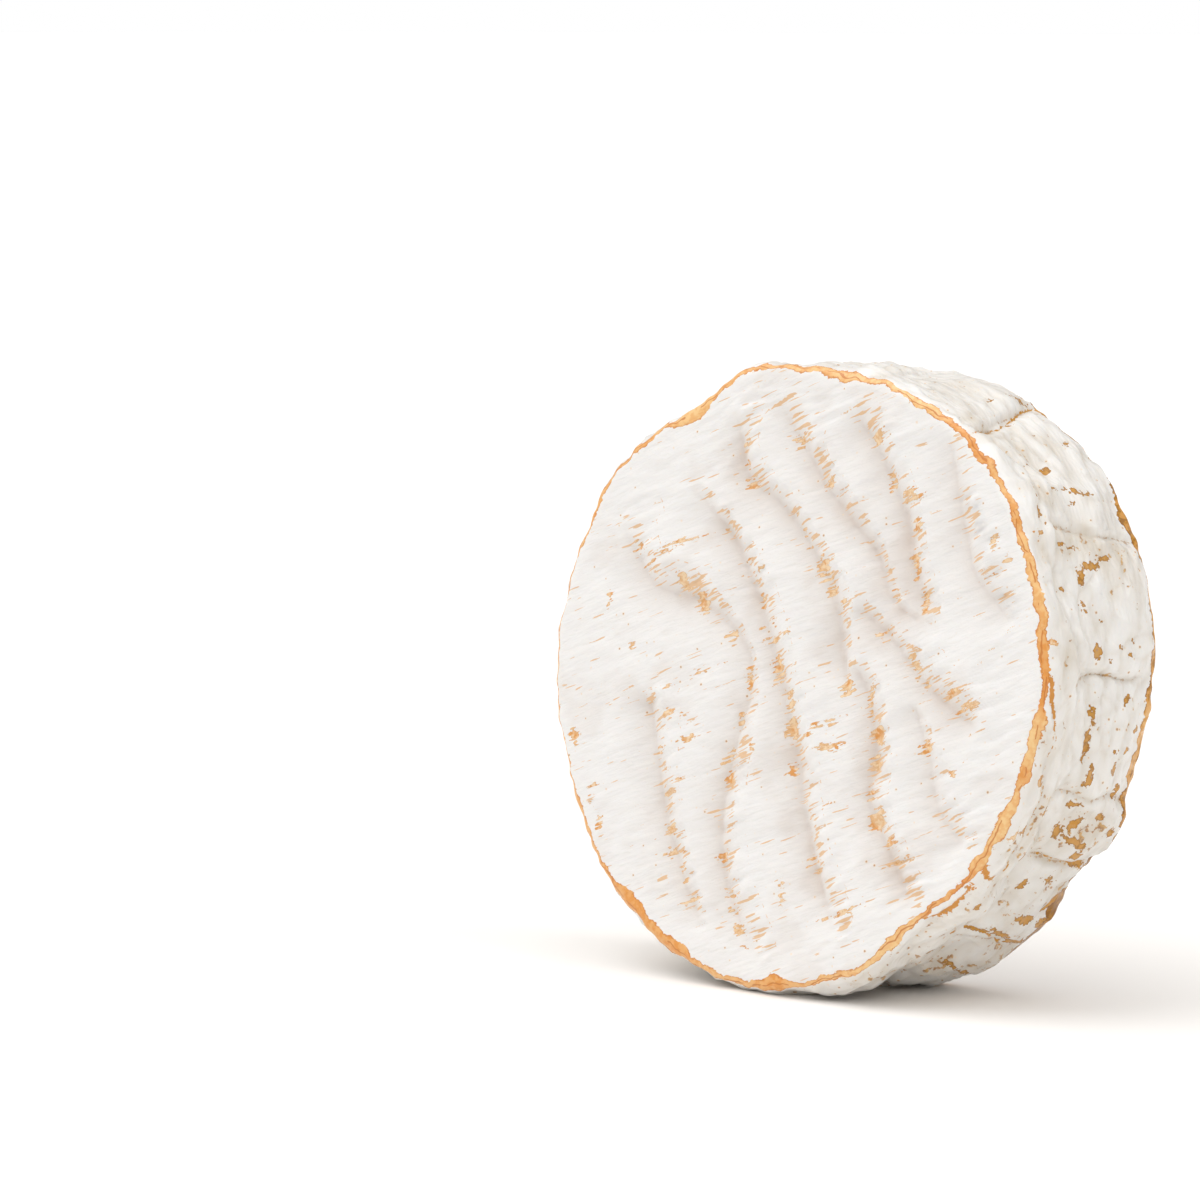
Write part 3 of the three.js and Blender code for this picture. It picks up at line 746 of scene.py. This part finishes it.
lean = math.radians(LEAN)
leaned = np.array([[1, 0, 0], [0, math.cos(lean), math.sin(lean)], [0, -math.sin(lean), math.cos(lean)]])
standing = shaped @ leaned.T + (0, 0, CENTRE_HEIGHT)
standing[:, 2] = np.maximum(standing[:, 2], 0)
middle = (standing.min(axis=0) + standing.max(axis=0)) / 2
low, high = (np.array(corner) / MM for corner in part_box("cheese_wheel"))
moved = ((low + high) / 2 - middle)[:2]
standing[:, :2] += moved

past_corner = smoothstep(radius, RIM_RADIUS - EDGE_ROUNDING, RIM_RADIUS)
wheel.data.vertices.foreach_set("co", (standing * MM).ravel())
for name, values in (
    ("behind", behind),
    ("groove_across", groove_across),
    ("stroke_height", strokes),
    ("hollow", hollow),
    ("browned", browned),
    ("band_at", band_at),
    ("band_half_width", band_half_width),
    ("band_depth", band_depth),
    ("crease_across", crease_across),
    ("crease_depth", crease_depth * on_side),
    ("fold_across", np.clip(fold_across, -FAR, FAR)),
    ("fold_bare", fold_bare),
    ("fold_depth", fold_depth * past_corner),
    ("on_side", past_corner),
):
    wheel.data.attributes.new(name, "FLOAT", "POINT").data.foreach_set("value", values)
wheel.data.update()
bpy.ops.object.shade_smooth()

# The rind's finish
#
# Velvety white mould, with painted shade, warmer and darker, in the hollows. The bare skin is light
# tan, darker along its ragged edges, with thin streaks that follow the strokes and small dark dots.
# The side has specks too, and thin bare lines along some of its folds.

WHITE_FACE = "ecebea"
WHITE_SIDE = "eeedeb"
# Colours of the painted shade in the hollows, also used for soft clouds and for darkening low down on
# the side
FACE_SHADE = "d4c8bf"
SIDE_SHADE = "c6b79f"
LIGHT_TAN = "eed3ae"
DEEP_TAN = "e2b888"
TAN_EDGE = "cb965c"
RIPE_ORANGE = "de9c56"
BAND_LIGHT = "f2cd92"
BAND_DEEP = "e29a4c"
BAND_EDGE = "c87a34"
OLIVE_TAN = "c48a22"
OLIVE_EDGE = "80500f"
FOLD_ORANGE = "cf8c38"
SPECK_BROWN = "c8994c"
SPECK_DEEP = "9a6420"
DOT_BROWN = "b58a62"
CREASE_BROWN = "b07f42"

TORN_EDGE = 0.06  # half the width of the step at a torn edge
PATCH_INSET = 0.22
SIDE_PATCH_GROWTH = 0.2
LOW_PATCH_GROWTH = 0.3
STREAKS_AT = 2.2  # right of a groove's line
STREAKS_SPREAD = 2.4
STREAK_STRENGTH = 0.85
SPECK_SIZE = 1.2
SPECK_STRENGTH = 0.85
DOT_SPACING = 1.6
DOT_SIZE = 0.36
DOT_CHANCE = 0.66
DOT_STRENGTH = 0.8
HALO_STRENGTH = 0.5
BAND_SWAY = 2  # from side to side
BAND_LINE_SWAY = 4
BAND_LINE_STRENGTH = 0.85
CREASE_STRENGTH = 0.6
CREASE_CRUMBS = 2.6
FOLD_CRUMBS = 1.8
FACE_ROUGHNESS = 0.74
SIDE_SMOOTHER = 0.44
BARE_SMOOTHER = 0.06
FUZZ_HEIGHT = 0.03
FINE_STROKE_HEIGHT = 0.2
FINE_LUMP_HEIGHT = 0.12
FINE_WRINKLE_HEIGHT = 0.4
CUT_SHARPNESS = 2.5
CREASE_CUT = 0.1
FOLD_CUT = 0.2


def colour(code):
    """A linear colour from a hex code."""
    parts = [int(code[i : i + 2], 16) / 255 for i in (0, 2, 4)]
    return [c / 12.92 if c <= 0.04045 else ((c + 0.055) / 1.055) ** 2.4 for c in parts] + [1]


def place_value(tree, socket, value):
    if isinstance(value, bpy.types.NodeSocket):
        tree.links.new(value, socket)
    elif value is not None:
        socket.default_value = value


def calculate(tree, operation, *values):
    """The result of a math node."""
    node = tree.nodes.new("ShaderNodeMath")
    node.operation = operation
    for socket, value in zip(node.inputs, values):
        place_value(tree, socket, value)
    return node.outputs[0]


def minus(tree, first, second):
    return calculate(tree, "SUBTRACT", first, second)


def times(tree, first, second):
    return calculate(tree, "MULTIPLY", first, second)


def times_plus(tree, first, second, third):
    return calculate(tree, "MULTIPLY_ADD", first, second, third)


def step_up(tree, value, low, high):
    """A soft step from 0 to 1 as the value goes from low to high."""
    node = tree.nodes.new("ShaderNodeMapRange")
    node.interpolation_type = "SMOOTHSTEP"
    place_value(tree, node.inputs["Value"], value)
    place_value(tree, node.inputs["From Min"], low)
    place_value(tree, node.inputs["From Max"], high)
    return node.outputs["Result"]


def blended(tree, amount, first, second):
    """The first colour, going over to the second by the amount."""
    node = tree.nodes.new("ShaderNodeMix")
    node.data_type = "RGBA"
    place_value(tree, node.inputs[0], amount)
    place_value(tree, node.inputs[6], first)
    place_value(tree, node.inputs[7], second)
    return node.outputs[2]


def mapped(tree, vector, **settings):
    node = tree.nodes.new("ShaderNodeMapping")
    tree.links.new(vector, node.inputs["Vector"])
    for name, value in settings.items():
        node.inputs[name.capitalize()].default_value = value
    return node.outputs["Vector"]


def grain(tree, vector, size=1, detail=2):
    """Noise from 0 to 1 whose bumps are about one size apart."""
    node = tree.nodes.new("ShaderNodeTexNoise")
    tree.links.new(vector, node.inputs["Vector"])
    node.inputs["Scale"].default_value = 1 / size
    node.inputs["Detail"].default_value = detail
    return node.outputs["Fac"]


def painted(tree, name):
    """The value that the mesh holds under this name."""
    node = tree.nodes.new("ShaderNodeAttribute")
    node.attribute_name = name
    return node.outputs["Fac"]


def ragged_group():
    """Bare skin with a torn edge. The field is about how far inside the bare place it is."""
    group = bpy.data.node_groups.new("ragged_skin", "ShaderNodeTree")
    for name in ("Field", "Strokes", "Crumbs", "Stroke Reach", "Crumb Reach"):
        group.interface.new_socket(name, in_out="INPUT", socket_type="NodeSocketFloat")
    for name in ("Mask", "Edge"):
        group.interface.new_socket(name, in_out="OUTPUT", socket_type="NodeSocketFloat")
    given = group.nodes.new("NodeGroupInput").outputs
    result = group.nodes.new("NodeGroupOutput").inputs
    field = given["Field"]
    for source, reach in (("Strokes", "Stroke Reach"), ("Crumbs", "Crumb Reach")):
        torn = calculate(group, "SUBTRACT", given[source], 0.5)
        field = calculate(group, "MULTIPLY_ADD", torn, given[reach], field)
    mask = step_up(group, field, -TORN_EDGE, TORN_EDGE)
    inner = step_up(group, field, 0.05, 0.4)
    edge = calculate(group, "MULTIPLY", mask, calculate(group, "SUBTRACT", 1, inner))
    group.links.new(mask, result["Mask"])
    group.links.new(edge, result["Edge"])
    return group


def place_group(tree, group, **values):
    node = tree.nodes.new("ShaderNodeGroup")
    node.node_tree = group
    for name, value in values.items():
        place_value(tree, node.inputs[name.replace("_", " ")], value)
    return node.outputs


ragged = ragged_group()
rind = bpy.data.materials.new("white_rind")
rind.use_nodes = True
tree = rind.node_tree
shader = tree.nodes["Principled BSDF"]

coordinates = tree.nodes.new("ShaderNodeTexCoord").outputs["Object"]
skin = mapped(tree, coordinates, scale=(1 / MM,) * 3, rotation=(lean, 0, 0))
stroked = mapped(tree, skin, rotation=(0, tilt, 0))
strokes = grain(tree, mapped(tree, stroked, scale=(1 / 3.4, 1 / 3, 1 / 0.55)))
fine_strokes = grain(tree, mapped(tree, stroked, scale=(1 / 4, 1 / 2, 1 / 0.8)))
streaks = mapped(tree, stroked, scale=(1 / 5, 1 / 3, 1 / 0.5), location=(31, 0, 7))
streaks = grain(tree, streaks, detail=1.5)
crumbs = grain(tree, skin, size=0.8, detail=3)
clouds = grain(tree, skin, size=9)
fuzz = grain(tree, skin, size=0.3)

side_mask = painted(tree, "on_side")
face_mask = minus(tree, 1, side_mask)
hollow = painted(tree, "hollow")
behind_rim = times(tree, side_mask, step_up(tree, painted(tree, "behind"), 1.5, 6))
heights = tree.nodes.new("ShaderNodeSeparateXYZ")
tree.links.new(skin, heights.inputs["Vector"])
low_down = minus(tree, 1, step_up(tree, heights.outputs["Z"], 15, 80))
low_down = times(tree, low_down, side_mask)

# Patches and marks, which the white mould covers least low down on the side
patch_inside = times_plus(tree, side_mask, SIDE_PATCH_GROWTH, painted(tree, "browned"))
patch_inside = times_plus(tree, low_down, LOW_PATCH_GROWTH, patch_inside)
patches = place_group(
    tree, ragged, Field=minus(tree, patch_inside, PATCH_INSET), Strokes=strokes,
    Crumbs=crumbs, Stroke_Reach=times(tree, face_mask, 4.6), Crumb_Reach=2,
)

# Streaks, mostly on the steep side of a groove and in the dips between the strokes
steep = minus(tree, painted(tree, "groove_across"), STREAKS_AT)
steep = calculate(tree, "DIVIDE", steep, STREAKS_SPREAD)
steep = times(tree, steep, steep)
steep = calculate(tree, "EXPONENT", times(tree, steep, -1))
likely = times_plus(tree, steep, 0.16, times(tree, clouds, 0.2))
likely = times_plus(tree, painted(tree, "stroke_height"), -0.15, likely)
streak = step_up(tree, calculate(tree, "ADD", streaks, likely), 0.82, 0.85)
streak = times(tree, streak, face_mask)

# Specks on the side, in clusters, mostly near its creases and low down
speck_chance = times_plus(tree, hollow, 0.18, times(tree, clouds, 0.4))
speck_chance = times_plus(tree, low_down, 0.07, speck_chance)
specks = calculate(tree, "ADD", grain(tree, skin, size=SPECK_SIZE, detail=4), speck_chance)
specks = times(tree, step_up(tree, specks, 0.95, 1.03), side_mask)

# Dots
cells = tree.nodes.new("ShaderNodeTexVoronoi")
tree.links.new(skin, cells.inputs["Vector"])
cells.inputs["Scale"].default_value = 1 / DOT_SPACING
chances = tree.nodes.new("ShaderNodeSeparateColor")
tree.links.new(cells.outputs["Color"], chances.inputs["Color"])
dot_radius = minus(tree, chances.outputs["Red"], DOT_CHANCE)
dot_radius = times_plus(tree, side_mask, 0.12, dot_radius)
dot_field = times(tree, dot_radius, DOT_SIZE)
dot_field = minus(tree, dot_field, cells.outputs["Distance"])
dot_field = times_plus(tree, minus(tree, crumbs, 0.5), 0.2, dot_field)
dots = step_up(tree, dot_field, -0.01, 0.03)
halos = step_up(tree, dot_field, -0.12, 0.0)

# The bands along the rims, with a thin darker line that wanders within them
band_sway = times_plus(tree, grain(tree, skin, size=3), BAND_SWAY, -BAND_SWAY / 2)
band_away = calculate(tree, "ABSOLUTE", calculate(tree, "ADD", painted(tree, "band_at"), band_sway))
band_field = minus(tree, painted(tree, "band_half_width"), band_away)
band = place_group(
    tree, ragged, Field=band_field, Strokes=strokes, Crumbs=crumbs, Stroke_Reach=0.8, Crumb_Reach=1,
)
line_sway = grain(tree, skin, size=5, detail=3)
line_sway = times_plus(tree, line_sway, BAND_LINE_SWAY, -BAND_LINE_SWAY / 2)
line_away = calculate(tree, "ABSOLUTE", calculate(tree, "ADD", painted(tree, "band_at"), line_sway))
line_away = calculate(tree, "ADD", line_away, step_up(tree, grain(tree, skin, size=6), 0.5, 0.42))
band_core = minus(tree, 1, step_up(tree, line_away, 0.08, 0.24))

# Creases
crease_line = calculate(tree, "ABSOLUTE", painted(tree, "crease_across"))
crease_line = times_plus(tree, crumbs, CREASE_CRUMBS, crease_line)
crease_line = minus(tree, 1, step_up(tree, crease_line, 1.15, 1.4))
crease_line = times(tree, crease_line, step_up(tree, painted(tree, "crease_depth"), 0.2, 0.6))

# Thin bare lines along some of the narrow folds
fold_away = calculate(tree, "ABSOLUTE", painted(tree, "fold_across"))
fold_line = minus(tree, painted(tree, "fold_bare"), fold_away)
fold_line = times_plus(tree, minus(tree, crumbs, 0.5), FOLD_CRUMBS, fold_line)
fold_line = step_up(tree, fold_line, -TORN_EDGE, TORN_EDGE)
fold_line = times(tree, fold_line, step_up(tree, painted(tree, "fold_depth"), 0.08, 0.14))

white = blended(tree, side_mask, colour(WHITE_FACE), colour(WHITE_SIDE))
# Painted shade in the hollows, stronger under the clouds, then soft clouds of the same colour anywhere,
# and a little darker low down on the side
shade = blended(tree, side_mask, colour(FACE_SHADE), colour(SIDE_SHADE))
shade_and_clouds = times(tree, hollow, times_plus(tree, clouds, 0.6, 0.35))
shade_and_clouds = calculate(tree, "ADD", shade_and_clouds, times(tree, step_up(tree, clouds, 0.5, 0.7), 0.2))
shade_and_clouds = times_plus(tree, low_down, 0.08, shade_and_clouds)
white = blended(tree, shade_and_clouds, white, shade)
mottled = step_up(tree, grain(tree, skin, size=1.1, detail=3), 0.4, 0.62)
tan = blended(tree, mottled, colour(LIGHT_TAN), colour(DEEP_TAN))
ripe = times(tree, step_up(tree, grain(tree, skin, size=4), 0.5, 0.6), mottled)
tan = blended(tree, ripe, tan, colour(RIPE_ORANGE))
tan = blended(tree, times(tree, behind_rim, 0.85), tan, colour(OLIVE_TAN))
tan_edge = blended(tree, behind_rim, colour(TAN_EDGE), colour(OLIVE_EDGE))
bare = blended(tree, times(tree, patches["Edge"], 0.6), tan, tan_edge)

mottling = times(tree, minus(tree, mottled, 0.5), 0.4)
band_depth = calculate(tree, "ADD", mottling, painted(tree, "band_depth"))
band_tan = blended(tree, band_depth, colour(BAND_LIGHT), colour(BAND_DEEP))
on_back_half = step_up(tree, painted(tree, "behind"), THICKNESS / 2, THICKNESS / 2 + 1)
on_back_band = times(tree, on_back_half, band_depth)
band_tan = blended(tree, on_back_band, band_tan, colour(OLIVE_TAN))
on_deep_band = times(tree, on_back_half, step_up(tree, band_depth, 0.7, 1.2))
band_tan = blended(tree, times(tree, on_deep_band, 0.7), band_tan, colour(OLIVE_EDGE))
band_edge = blended(tree, on_back_half, colour(BAND_EDGE), colour(OLIVE_EDGE))
band_line = times(tree, band["Edge"], step_up(tree, grain(tree, skin, size=2.5), 0.36, 0.5))
band_line = calculate(tree, "MAXIMUM", band_line, band_core)
band_bare = blended(tree, times(tree, band_line, BAND_LINE_STRENGTH), band_tan, band_edge)

# All that lies on the white, from the lowest to the topmost
speck_brown = blended(tree, mottled, colour(SPECK_BROWN), colour(SPECK_DEEP))
fold_tan = blended(tree, behind_rim, colour(FOLD_ORANGE), colour(OLIVE_TAN))
skin_colour = white
for mask, laid_colour in (
    (times(tree, crease_line, CREASE_STRENGTH), colour(CREASE_BROWN)),
    (times(tree, streak, STREAK_STRENGTH), colour(DEEP_TAN)),
    (times(tree, halos, HALO_STRENGTH), colour(LIGHT_TAN)),
    (times(tree, specks, SPECK_STRENGTH), speck_brown),
    (patches["Mask"], bare),
    (fold_line, fold_tan),
    (times(tree, dots, DOT_STRENGTH), colour(DOT_BROWN)),
    (band["Mask"], band_bare),
):
    skin_colour = blended(tree, mask, skin_colour, laid_colour)
tree.links.new(skin_colour, shader.inputs["Base Color"])

bare_mask = calculate(tree, "MAXIMUM", patches["Mask"], band["Mask"])
roughness = times_plus(tree, side_mask, -SIDE_SMOOTHER, FACE_ROUGHNESS)
roughness = times_plus(tree, bare_mask, -BARE_SMOOTHER, roughness)
tree.links.new(roughness, shader.inputs["Roughness"])

relief = times(tree, fuzz, FUZZ_HEIGHT)
fine_wrinkles = grain(tree, mapped(tree, skin, scale=(1 / 4, 1 / 1.3, 1 / 4)), detail=1)
for height, bumps in (
    (FINE_STROKE_HEIGHT, times(tree, fine_strokes, face_mask)),
    (FINE_LUMP_HEIGHT, grain(tree, skin, size=2, detail=1)),
    (FINE_WRINKLE_HEIGHT, times(tree, fine_wrinkles, side_mask)),
):
    relief = times_plus(tree, bumps, height, relief)
for name, cut in (("crease", CREASE_CUT), ("fold", FOLD_CUT)):
    away = calculate(tree, "ABSOLUTE", painted(tree, name + "_across"))
    sharp = calculate(tree, "EXPONENT", times(tree, away, -CUT_SHARPNESS))
    relief = times_plus(tree, times(tree, sharp, painted(tree, name + "_depth")), -cut, relief)
bump = tree.nodes.new("ShaderNodeBump")
bump.inputs["Distance"].default_value = MM
tree.links.new(relief, bump.inputs["Height"])
tree.links.new(bump.outputs["Normal"], shader.inputs["Normal"])

shader.inputs["Specular IOR Level"].default_value = 0.5
shader.inputs["Sheen Weight"].default_value = 0.08
shader.inputs["Sheen Roughness"].default_value = 0.5
shader.inputs["Subsurface Weight"].default_value = 0.15
shader.inputs["Subsurface Radius"].default_value = (1, 0.8, 0.6)
shader.inputs["Subsurface Scale"].default_value = 1.2 * MM

wheel.data.materials.clear()
wheel.data.materials.append(rind)
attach(wheel, "root")
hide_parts("cheese_wheel")

# The table
#
# A plain matt white surface that runs back to the horizon.

TABLE_SIZE = 60_000

bpy.ops.mesh.primitive_plane_add(size=TABLE_SIZE * MM)
table = bpy.context.object
table.name = "table"
surface = bpy.data.materials.new("matt_white_table")
surface.use_nodes = True
matt = surface.node_tree.nodes["Principled BSDF"]
matt.inputs["Base Color"].default_value = (0.95, 0.94, 0.93, 1)
matt.inputs["Roughness"].default_value = 0.9
matt.inputs["Specular IOR Level"].default_value = 0.1
table.data.materials.append(surface)

# The studio light
#
# A bright white room, with large soft lamps high on the left, overhead and on the right.

ROOM_LIGHT = 0.52
ROOM_SEEN = 1.0
ROOM_TINT = "fffbf6"
# Each lamp's strength, azimuth, elevation and spread
LAMPS = {
    "key_lamp": (1.0, -52, 56, 55),
    "top_lamp": (1.1, 10, 78, 70),
    "fill_lamp": (0.5, 105, 45, 36),
}


def add_lamp(name, strength, azimuth, elevation, spread):
    """A wide soft lamp, shining from the azimuth and elevation towards the wheel."""
    lamp = bpy.data.lights.new(name, "SUN")
    lamp.energy = strength
    lamp.angle = math.radians(spread)
    holder = bpy.data.objects.new(name, lamp)
    around, up = math.radians(azimuth), math.radians(elevation)
    towards = Vector((math.sin(around) * math.cos(up), -math.cos(around) * math.cos(up), math.sin(up)))
    holder.rotation_euler = towards.to_track_quat("Z", "Y").to_euler()
    bpy.context.scene.collection.objects.link(holder)


for name, settings in LAMPS.items():
    add_lamp(name, *settings)

room = bpy.data.worlds.new("white_room")
room.use_nodes = True
bpy.context.scene.world = room
walls = room.node_tree.nodes["Background"]
seen = room.node_tree.nodes.new("ShaderNodeLightPath").outputs["Is Camera Ray"]
walls_colour = blended(room.node_tree, seen, colour(ROOM_TINT), (1, 1, 1, 1))
room.node_tree.links.new(walls_colour, walls.inputs["Color"])
brightness = calculate(room.node_tree, "MULTIPLY_ADD", seen, ROOM_SEEN - ROOM_LIGHT, ROOM_LIGHT)
room.node_tree.links.new(brightness, walls.inputs["Strength"])
bpy.context.scene.view_settings.view_transform = "Standard"

# The camera
#
# It stands to the right of the front face and a little above it, at the photograph's angle.

PHOTO_WIDTH = 1200  # pixels
FOCAL_LENGTH = 5161.2  # pixels
WHEEL_CENTRE_SEEN = (841.22, 675.80)  # pixels
WHEEL_CENTRE = Vector((*moved, CENTRE_HEIGHT)) * MM
VIEW_AZIMUTH = 41.248
VIEW_ELEVATION = 6.5
VIEW_DISTANCE = 900

around, up = math.radians(VIEW_AZIMUTH), math.radians(VIEW_ELEVATION)
to_right = Vector((math.cos(around), math.sin(around), 0))
level = Vector((-math.sin(around), math.cos(around), 0))
forward = level * math.cos(up) - Vector((0, 0, math.sin(up)))
upward = level * math.sin(up) + Vector((0, 0, math.cos(up)))
camera_data = bpy.data.cameras.new("camera")
camera_data.sensor_width = 36
camera_data.lens = FOCAL_LENGTH / PHOTO_WIDTH * camera_data.sensor_width
camera = bpy.data.objects.new("camera", camera_data)
pixel = VIEW_DISTANCE * MM / FOCAL_LENGTH
off_right = (WHEEL_CENTRE_SEEN[0] - PHOTO_WIDTH / 2) * pixel
off_down = (WHEEL_CENTRE_SEEN[1] - PHOTO_WIDTH / 2) * pixel
stand = WHEEL_CENTRE - forward * VIEW_DISTANCE * MM - to_right * off_right + upward * off_down
facing = Matrix((to_right, upward, -forward)).transposed().to_4x4()
camera.matrix_world = Matrix.Translation(stand) @ facing
bpy.context.scene.collection.objects.link(camera)
bpy.context.scene.camera = camera
